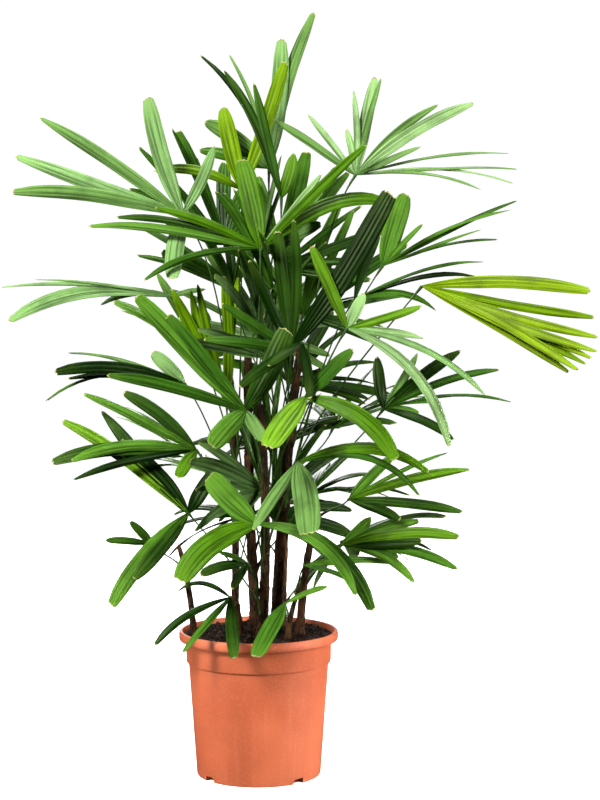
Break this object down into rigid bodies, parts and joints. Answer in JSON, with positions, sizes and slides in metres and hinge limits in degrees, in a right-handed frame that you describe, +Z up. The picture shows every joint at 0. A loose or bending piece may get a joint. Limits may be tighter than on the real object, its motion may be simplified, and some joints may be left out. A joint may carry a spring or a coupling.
{
  "type": "potted lady palm",
  "caption": "Lady palm in a plain terracotta-coloured plastic nursery pot: a clump of thin fibre-clad canes with fans of long green leaflets.",
  "frame": {"origin": "centre of the pot's flat underside", "axes": "+Z up the canes, -Y towards the viewer, +X to the viewer's right"},
  "size_m": [0.8546, 0.6311, 1.1588],
  "materials": {
    "pot": "satin moulded plastic, terracotta colour",
    "soil": "dark crumbly potting soil",
    "cane": "brown fibre-wrapped cane",
    "leaf_pale": "satin leaf, pale grey-green",
    "leaf_mid": "satin leaf, mid green",
    "leaf_dark": "satin leaf, dark green",
    "leaf_fresh": "satin leaf, fresh mid green",
    "leaf_young": "satin leaf, fresh yellow-green"
  },
  "bodies": {
    "root": {"frond_back_01": "leaf_mid", "frond_back_02": "leaf_dark", "frond_back_03": "leaf_mid", "frond_back_04": "leaf_pale", "frond_back_05": "leaf_dark", "frond_back_06": "leaf_mid", "frond_back_08": "leaf_dark", "frond_back_09": "leaf_mid", "frond_back_10": "leaf_pale", "frond_back_11": "leaf_dark", "frond_back_12": "leaf_mid", "frond_back_13": "leaf_mid", "frond_back_14": "leaf_dark", "frond_foot_front": "leaf_mid", "frond_foot_inner": "leaf_dark", "frond_foot_left": "leaf_mid", "frond_foot_right": "leaf_mid", "frond_front_bright": "leaf_fresh", "frond_front_broad": "leaf_dark", "frond_front_centre": "leaf_fresh", "frond_front_left": "leaf_mid", "frond_inner_01": "leaf_dark", "frond_inner_02": "leaf_dark", "frond_inner_03": "leaf_mid", "frond_inner_06": "leaf_mid", "frond_inner_07": "leaf_dark", "frond_inner_08": "leaf_dark", "frond_inner_09": "leaf_mid", "frond_left_arc": "leaf_pale", "frond_left_low_mid": "leaf_mid", "frond_left_mid": "leaf_mid", "frond_left_small": "leaf_dark", "frond_low_centre": "leaf_mid", "frond_low_left_dark": "leaf_dark", "frond_mid_right": "leaf_pale", "frond_mid_tall": "leaf_dark", "frond_right_edge": "leaf_mid", "frond_right_low": "leaf_dark", "frond_right_lowest": "leaf_mid", "frond_right_mid": "leaf_mid", "frond_right_young": "leaf_young", "frond_top_dark": "leaf_dark", "frond_top_pale": "leaf_pale", "frond_top_right": "leaf_pale", "frond_upper_centre": "leaf_fresh", "frond_upper_left": "leaf_pale", "frond_upper_right": "leaf_mid", "frond_upper_young": "leaf_young", "frond_young_upright": "leaf_young", "pot": "pot", "root_ball": "soil", "shoot": "cane", "stem_back": "cane", "stem_behind": "cane", "stem_centre": "cane", "stem_front": "cane", "stem_left_low": "cane", "stem_right": "cane", "stem_right_low": "cane", "stump": "cane"}
  },
  "joints": []
}
